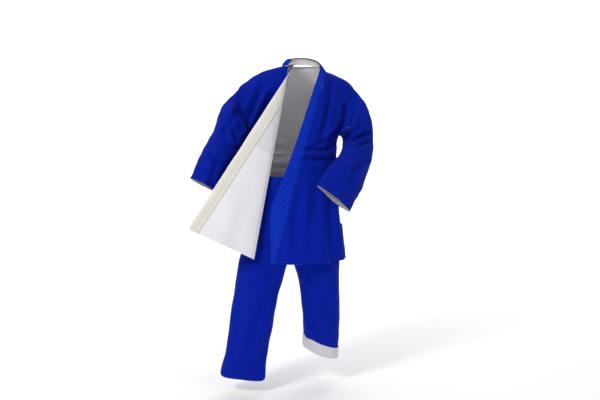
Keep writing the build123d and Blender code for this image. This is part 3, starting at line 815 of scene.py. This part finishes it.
def turned_out(*grids):
    """Grids (points, normals, others) with the columns' order that puts the faces on the normals' side."""
    p, n = grids[:2]
    if np.cross(p[0, 1] - p[0, 0], p[1, 0] - p[0, 0]) @ n[0, 0] < 0:
        return tuple(grid[:, ::-1] for grid in grids)
    return grids


def ring_line(p, n, row):
    """One row of a tube as a closed line of points and normals."""
    return np.concatenate([p[row], p[row][:1]]), np.concatenate([n[row], n[row][:1]])


def tube_cloth(name, p, cut, weave, how, nodes):
    """A blue tube and its white lining, between two rows of a grid."""
    n = outward(p, normals(p, wrap=True))
    uv = cloth_coordinates(np.concatenate([p, p[:, :1]], 1))
    p, n, uv = turned_out(p[cut], n[cut], uv[cut])
    cloth(name, p, n, f"blue_{weave}", how, FACE, wrap=True, uv=uv, replaces=[nodes[0]])
    cloth(f"{name}_white", p, n, f"white_{weave}", how, LINING, wrap=True, uv=uv, replaces=nodes[1:])


ROUND = 128  # columns round a sleeve
ELBOW = {"right": 0.36, "left": 0.38}  # place along each sleeve
CUFF_SEAM = 0.90
for side in ("right", "left"):
    steps = np.concatenate([np.linspace(0, 0.97, 84), [0.975, 0.985, 0.993, 0.997, 1.0]])
    p = tube(SLEEVE[side], steps, ROUND)
    border = armhole_line(side, ROUND)
    if np.linalg.norm(p[0] - border) > np.linalg.norm(np.roll(p[0][::-1], 1, 0) - border):
        p = np.roll(p[:, ::-1], 1, 1)
    # The sleeve's head takes the armhole's shape.
    away = (1 - smooth(steps, 0.0, 0.17)) ** 1.3
    p = p + away[:, None, None] * (border - p[0])[None]
    n = outward(p, normals(p, wrap=True))
    calm = smooth(steps, 0.0, 0.08)[:, None]
    p = p + n * (calm * (0.0035 * waves(p, 0.13, 21) + 0.0015 * waves(p, 0.05, 22)))[..., None]
    p = fold(p, n, SLEEVE_FOLDS[side]) * calm[..., None] + p * (1 - calm[..., None])

    # The shoulder's span runs from the armhole on, and the elbow's from the row where the two cloths meet.
    out = ARM[side]["out"]
    cut = int(np.argmax(steps >= ELBOW[side]))
    down = unit(p[cut + 3].mean(0) - p[cut - 3].mean(0))
    way = unit(out + down)
    head_length = float((p[cut] @ way).min() - (p[0] @ way).max())
    shoulder = bend_between("jacket", f"{side}_upper_arm", way, p[0], max(head_length, 0.01))
    elbow = bend_between(f"{side}_upper_arm", f"{side}_forearm", down, p[cut], 0.075)

    # The seam allowance is one more row, inside the armhole.
    allowance = p[0] - out * 0.010 + (p[0].mean(0) - p[0]) * 0.05
    p = np.concatenate([allowance[None], p])
    n = outward(p, normals(p, wrap=True))
    cut += 1
    hem_row = int(np.argmax(steps >= CUFF_SEAM)) + 1
    upper, lower = f"{side}_upper_sleeve", f"{side}_lower_sleeve"
    tube_cloth(f"{side}_sleeve_head", p, slice(None, cut + 1), "rice", shoulder, [upper, f"{upper}_lining"])
    tube_cloth(f"{side}_sleeve", p, slice(cut, None), "rice", elbow, [lower, f"{lower}_lining"])
    seam_lines = [ring_line(p, n, row) for row in (2, 4)]
    stitches(f"{side}_armhole_stitches", seam_lines, shoulder)
    cuff_lines = [ring_line(p, n, row) for row in (hem_row, hem_row + 1, -4)]
    stitches(f"{side}_cuff_stitches", cuff_lines, f"{side}_forearm")
    facing, facing_n = turned_out(p[hem_row:], n[hem_row:])
    cloth(f"{side}_cuff_facing", facing, facing_n, "white_drill", f"{side}_forearm", HEM, wrap=True,
          replaces=[f"{side}_cuff_hem"])

# --- Trousers -------------------------------------------------------------------------------------------

CROTCH = -0.302
WAIST_LOW, WAIST_TOP = 0.0135, 0.055
# The seat's outline: (height, centre X, centre Y, half width, half depth).
SEAT = [
    (CROTCH, 0.0, -0.005, 0.224, 0.103),
    (-0.150, 0.0, 0.002, 0.210, 0.103),
    (0.012, 0.0, 0.012, 0.184, 0.096),
]
TROUSER_FOLDS = [
    (-1, [(-0.010, -0.10), (-0.06, -0.20), (-0.13, -0.27)], 0.0081, 0.0133),
    (-1, [(0.010, -0.10), (0.06, -0.20), (0.13, -0.27)], 0.0081, 0.0133),
    (-1, [(-0.02, -0.33), (-0.08, -0.39), (-0.16, -0.42)], 0.0108, 0.0152),
    (-1, [(-0.05, -0.44), (-0.11, -0.50), (-0.15, -0.62), (-0.17, -0.74)], 0.0095, 0.0209),
    (-1, [(-0.22, -0.45), (-0.24, -0.60), (-0.25, -0.78)], 0.0081, 0.0190),
    (-1, [(-0.10, -0.60), (-0.12, -0.72), (-0.16, -0.84)], 0.0081, 0.0171),
    (-1, [(0.03, -0.33), (0.08, -0.40), (0.15, -0.44)], 0.0108, 0.0152),
    (-1, [(0.07, -0.42), (0.09, -0.55), (0.12, -0.70)], 0.0095, 0.0171),
    (-1, [(0.19, -0.40), (0.17, -0.52), (0.19, -0.66)], 0.0081, 0.0171),
    (-1, [(0.07, -0.62), (0.13, -0.655), (0.20, -0.64)], 0.0068, 0.0114),
    (1, [(-0.16, -0.36), (-0.17, -0.55), (-0.20, -0.80)], 0.0108, 0.0228),
    (1, [(0.14, -0.36), (0.13, -0.55), (0.14, -0.72)], 0.0108, 0.0209),
    (1, [(-0.07, -0.42), (-0.12, -0.46), (-0.20, -0.44)], 0.0095, 0.0142),
    (1, [(0.06, -0.40), (0.11, -0.44), (0.19, -0.42)], 0.0095, 0.0142),
]
for side, sign in (("right", -1), ("left", 1)):
    height = heights(CROTCH, WAIST_LOW - GAP)[:, None]
    x, y, a, b = spline(SEAT, height.ravel()).T[..., None]
    half = pi * (spaced(0.36) - sign / 2)
    p = np.stack([x + a * np.cos(half) + sign * GAP, y + b * np.sin(half), height + 0 * half], -1)
    n = normals(p)
    calm = smooth(p[..., 2:], CROTCH, CROTCH + 0.03)
    p = p + calm * (fold(p + n * (0.002 * waves(p, 0.12, 31))[..., None], n, TROUSER_FOLDS) - p)
    p = pressed(p, n, ("left", "right"))
    cloth(f"seat_{side}_half", p, n, "blue_drill", "seat", FACE, replaces=[f"seat_{side}"])
    cloth(f"seat_{side}_white", p, n, "white_drill", "seat", LINING,
          replaces=["seat_lining"] if side == "right" else ["crotch_gusset"])
    seam_lines = [(p[:, 2], n[:, 2]), (p[:, -3], n[:, -3]), (p[-3], n[-3])]
    stitches(f"seat_{side}_stitches", seam_lines, "seat")

# The waistband is gathered by the elastic inside it.
waist_z = np.array([WAIST_LOW, 0.017, 0.025, 0.034, 0.043, 0.051, WAIST_TOP])
round_waist = np.linspace(0, 2 * pi, 220, endpoint=False)
gather = 0.0012 * np.sin(round_waist * 46) + 0.0008 * np.sin(round_waist * 31 + 1)
up_waist = ((waist_z - WAIST_LOW) / (WAIST_TOP - WAIST_LOW))[:, None]
bulge = 0.0016 * np.sin(pi * up_waist)
waist_a, waist_b = 0.1845 - 0.0030 * up_waist + bulge, 0.0965 - 0.0010 * up_waist + bulge
waist = np.stack([
    waist_a * np.cos(round_waist) * (1 + gather * 4),
    0.012 + 0.003 * up_waist + waist_b * np.sin(round_waist) * (1 + gather * 6),
    waist_z[:, None] + 0 * round_waist,
], -1)
waist_n = normals(waist, wrap=True)
cloth("waist_band", waist, waist_n, "blue_drill", "seat", FACE, wrap=True, replaces=["waistband"])
cloth("waist_band_inside", waist, waist_n, "white_drill", "seat", (0.0030, 0.0044), wrap=True,
      replaces=["waistband_facing"])
cloth("waist_elastic_strip", waist[1:-1], waist_n[1:-1], "elastic", "seat", (0.0018, 0.0028), wrap=True,
      replaces=["waist_elastic"])
stitches("waist_stitches", [(waist[k], waist_n[k]) for k in (1, -2)], "seat")
for k, x_at in enumerate((-0.030, 0.030)):
    i = int(np.argmin(np.abs(waist[3, :, 0] - x_at) + 10 * (waist[3, :, 1] > 0)))
    turn = Vector(waist_n[3, i]).to_track_quat("Z", "Y").to_euler()
    bpy.ops.mesh.primitive_torus_add(major_radius=0.0042, minor_radius=0.0011, major_segments=40,
                                     minor_segments=10, location=tuple(waist[3, i]), rotation=turn)
    ringlet = bpy.context.object
    ringlet.name = f"waist_eyelet_{k}"
    for face in ringlet.data.polygons:
        face.use_smooth = True
    ringlet.data.materials.append(MAT["blue_thread"])
    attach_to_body(ringlet, "seat")

# Each leg's rings, as the sleeves' rings.
LEG = {
    "right": [
        (0.00, (-0.114, -0.007, -0.3035), (0, 0, -1), (1, 0, 0), 0.112, 0.100),
        (0.27, (-0.147, -0.034, -0.450), (-0.18, -0.14, -0.97), (1, 0, 0), 0.104, 0.094),
        (0.54, (-0.174, -0.062, -0.600), (-0.17, -0.13, -0.97), (1, 0, 0), 0.099, 0.086),
        (0.76, (-0.194, -0.078, -0.720), (-0.15, -0.08, -0.98), (1, 0, 0), 0.094, 0.076),
        (1.00, (-0.215, -0.086, -0.850), (-0.12, -0.02, -0.99), (1, 0, 0), 0.100, 0.044),
    ],
    "left": [
        (0.00, (0.114, -0.005, -0.3035), (0, 0, -1), (1, 0, 0), 0.112, 0.100),
        (0.28, (0.133, 0.014, -0.440), (0.06, 0.14, -0.98), (1, 0, 0), 0.093, 0.088),
        (0.56, (0.141, 0.034, -0.574), (0.05, 0.16, -0.98), (1, 0, 0), 0.086, 0.080),
        (1.00, (0.142, 0.064, -0.784), (-0.32, 0.06, -0.95), (1, 0, 0), 0.081, 0.060),
    ],
}


def half_seat(sign, angle):
    """The foot of half the seat: its ellipse and the centre line, at angles round that half's middle."""
    _, x, y, a, b = SEAT[0]
    middle = x + sign * a / 2
    c, d = np.cos(angle), np.sin(angle)
    # Where a line out from the middle meets the ellipse is the larger root of a quadratic.
    square, linear = (c / a) ** 2 + (d / b) ** 2, 2 * (middle - x) * c / a**2
    constant = ((middle - x) / a) ** 2 - 1
    reach = (-linear + np.sqrt(linear**2 - 4 * square * constant)) / (2 * square)
    inward = c * sign < -1e-6
    to_centre = (x + sign * 2 * GAP - middle) / np.where(inward, c, -sign * 1e-6)
    reach = np.where(inward, np.minimum(reach, to_centre), reach)
    return np.stack([middle + reach * c, y + reach * d, CROTCH + 0 * angle], -1)


LEG_ROUND = 160  # columns round a leg
KNEE = 0.30  # place along each leg where its two cloths meet
HEM_SEAM = {"right": 0.945, "left": 0.87}
for side, sign in (("right", -1), ("left", 1)):
    rings = LEG[side]
    hem_steps = [0.982, 0.989, 0.994, 0.998, 1.0]
    steps = np.concatenate([[0, 0.003, 0.008], np.linspace(0.016, 0.975, 84), hem_steps])
    p = tube(rings, steps, LEG_ROUND)
    top_angle = np.arctan2(p[0, :, 1] - p[0, :, 1].mean(), p[0, :, 0] - p[0, :, 0].mean())
    seat_ring = half_seat(sign, top_angle)
    inner_side = smooth(-sign * np.cos(top_angle), -0.2, 0.9)
    away = 1 - smooth(steps, 0.0, 0.20)
    p = p + away[:, None, None] * (seat_ring - p[0])[None]
    n = outward(p, normals(p, wrap=True))
    calm = smooth(steps, 0.0, 0.06)[:, None]
    inner_calm = 1 - (away[:, None] * inner_side[None, :]) * 0.9
    p = p + n * (calm * inner_calm * (0.0035 * waves(p, 0.15, 41) + 0.0015 * waves(p, 0.06, 42)))[..., None]
    p = fold(p, n, TROUSER_FOLDS)
    if side == "right":
        p[..., 2] -= 0.012 * smooth(steps, 0.90, 1.0)[:, None] * smooth(-n[..., 1], 0.0, 1.0)
    n = outward(p, normals(p, wrap=True))
    cut = int(np.argmax(steps >= KNEE))
    top, thigh, knee, shin = (np.array(ring[1]) for ring in rings[:4])
    hip = ("seat", f"{side}_upper_leg", (float(top[0]), float(top[1]), CROTCH + 0.002),
           (float(top[0]), float(top[1]), -0.400))
    way = unit(shin - thigh)
    bend = (f"{side}_upper_leg", f"{side}_lower_leg", tuple(knee - way * 0.05), tuple(knee + way * 0.05))
    above, below = slice(None, cut + 1), slice(cut, None)
    tube_cloth(f"{side}_thigh_cloth", p, above, "drill", hip, [f"{side}_thigh", f"{side}_thigh_lining"])
    tube_cloth(f"{side}_leg_cloth", p, below, "drill", bend, [f"{side}_shin", f"{side}_shin_lining"])
    outer_column = int(np.argmax(p[50, :, 0] * sign))
    inner_column = int(np.argmin(p[50, :, 0] * sign))
    seam_columns = [(column + k) % LEG_ROUND for column in (outer_column, inner_column) for k in (0, 1)]
    for part, rows, how in (("upper", above, hip), ("lower", below, bend)):
        seams = [(p[rows, column], n[rows, column]) for column in seam_columns]
        stitches(f"{side}_leg_seam_stitches_{part}", seams, how)
    lower = f"{side}_lower_leg"
    row = int(np.argmax(steps >= HEM_SEAM[side]))
    if side == "right":
        stitches("right_hem_stitches", [ring_line(p, n, k) for k in (row, -4)], lower)
        facing, facing_n = turned_out(p[row:], n[row:])
        cloth("right_hem_facing", facing, facing_n, "white_drill", lower, HEM, wrap=True,
              replaces=["right_leg_hem"])
    else:
        # The turned-up cuff shows the cloth's white side, puffed between its two folds and tilted.
        cuff, cuff_n = p[row:], n[row:]
        span = np.linspace(0, 1, len(cuff))[:, None]
        middle = np.sin(pi * span).clip(0)
        puff = 0.0022 + 0.0045 * middle**0.7 + 0.002 * waves(cuff, 0.05, 51) * middle
        cuff = cuff + cuff_n * puff[..., None]
        cuff[..., 2] -= 0.20 * (cuff[:, :, 0] - LEG["left"][-1][1][0]) * (1 - span)
        cuff, cuff_n = turned_out(cuff, outward(cuff, normals(cuff, wrap=True)))
        cloth("left_cuff_turned_up", cuff, cuff_n, "white_drill", lower, (0.0, 0.0018), wrap=True,
              replaces=["left_turned_cuff"])
        stitches("left_cuff_stitches", [ring_line(cuff, cuff_n, k) for k in (2, -3)], lower, "white_thread")

# --- Stage, lights and camera ---------------------------------------------------------------------------

stage_white = bpy.data.materials.new("stage_white")
stage_white.use_nodes = True
stage_shader = stage_white.node_tree.nodes["Principled BSDF"]
stage_shader.inputs["Base Color"].default_value = (0.97, 0.97, 0.97, 1)
stage_shader.inputs["Roughness"].default_value = 0.95
FLOOR_Z, WALL_Y, SWEEP = -0.93, 7.0, 2.0
profile = [(y, FLOOR_Z) for y in np.linspace(-12, WALL_Y - SWEEP, 6)]
for a in np.linspace(0.1, pi / 2, 16):
    profile.append((WALL_Y - SWEEP + SWEEP * math.sin(a), FLOOR_Z + SWEEP * (1 - math.cos(a))))
profile += [(WALL_Y, z) for z in np.linspace(FLOOR_Z + SWEEP + 0.5, 9, 6)]
verts = [(x, y, z) for y, z in profile for x in (-14, 14)]
faces = [(2 * i, 2 * i + 1, 2 * i + 3, 2 * i + 2) for i in range(len(profile) - 1)]
mesh = bpy.data.meshes.new("studio_sweep")
mesh.from_pydata(verts, [], faces)
sweep = bpy.data.objects.new("studio_sweep", mesh)
for face in mesh.polygons:
    face.use_smooth = True
mesh.materials.append(stage_white)
bpy.context.collection.objects.link(sweep)


def area_light(name, at, target, size, power):
    data = bpy.data.lights.new(name, "AREA")
    data.shape = "RECTANGLE"
    data.size, data.size_y = size
    data.energy = power
    obj = bpy.data.objects.new(name, data)
    obj.location = at
    obj.rotation_euler = (Vector(target) - Vector(at)).to_track_quat("-Z", "Y").to_euler()
    bpy.context.collection.objects.link(obj)


area_light("key_softbox", (-2.6, -3.2, 2.6), (0, 0, 0.1), (1.1, 1.1), 115)
area_light("fill_softbox", (3.0, -3.0, 1.2), (0, 0, 0), (2.2, 2.2), 26)
area_light("top_softbox", (0, 0.6, 3.6), (0, 0, 0), (3.0, 3.0), 38)
area_light("back_wash", (0, 4.4, 4.0), (0, 6.9, 1.0), (7.0, 1.2), 230)
area_light("rear_softbox", (1.6, 3.6, 2.4), (0, 0, 0), (1.8, 1.8), 45)
world = bpy.data.worlds.new("studio_world")
world.use_nodes = True
world.node_tree.nodes["Background"].inputs[0].default_value = (1, 1, 1, 1)
world.node_tree.nodes["Background"].inputs[1].default_value = 0.38
bpy.context.scene.world = world

camera_data = bpy.data.cameras.new("camera")
camera_data.lens = 52
camera_data.sensor_width = 36
camera = bpy.data.objects.new("camera", camera_data)
camera.location = (0.045, -3.9, 0.42)
camera.rotation_euler = (math.radians(83), 0, 0)
bpy.context.collection.objects.link(camera)
bpy.context.scene.camera = camera
bpy.context.scene.view_settings.view_transform = "Standard"
